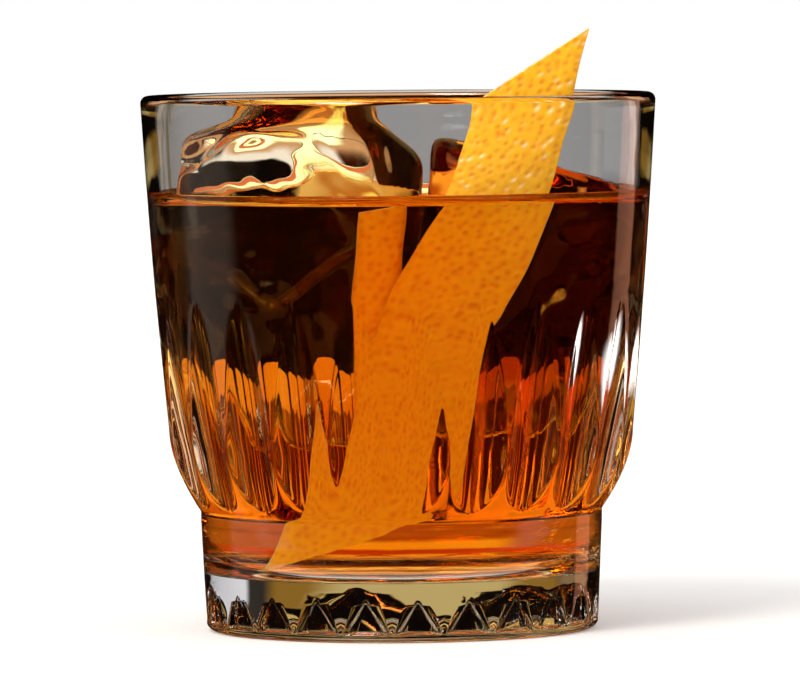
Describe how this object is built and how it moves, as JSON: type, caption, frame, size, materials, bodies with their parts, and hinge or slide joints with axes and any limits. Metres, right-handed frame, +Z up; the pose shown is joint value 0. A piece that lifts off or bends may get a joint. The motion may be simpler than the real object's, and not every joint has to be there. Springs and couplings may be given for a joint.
{
  "type": "old fashioned cocktail",
  "caption": "Old fashioned in a pressed rocks glass with fluted shoulder and notched heel, amber whiskey drink, rocks of clear ice and a long strip of orange peel standing above the rim.",
  "frame": {"origin": "centre of the glass's foot, on the surface that it stands on", "axes": "+Z up the axis of the glass; the picture looks along +Y, so -Y is the front and +X is to the right, where the peel leans"},
  "size_m": [0.0918, 0.0918, 0.1072],
  "materials": {
    "glass": "clear pressed soda-lime glass, fire polished",
    "drink": "clear amber brown liquid",
    "ice": "clear wet melting ice",
    "peel": "pitted waxy orange rind over pale pith"
  },
  "bodies": {
    "root": {"glass": "glass", "drink": "drink", "ice_left": "ice", "ice_right": "ice", "orange_peel": "peel"}
  },
  "joints": []
}
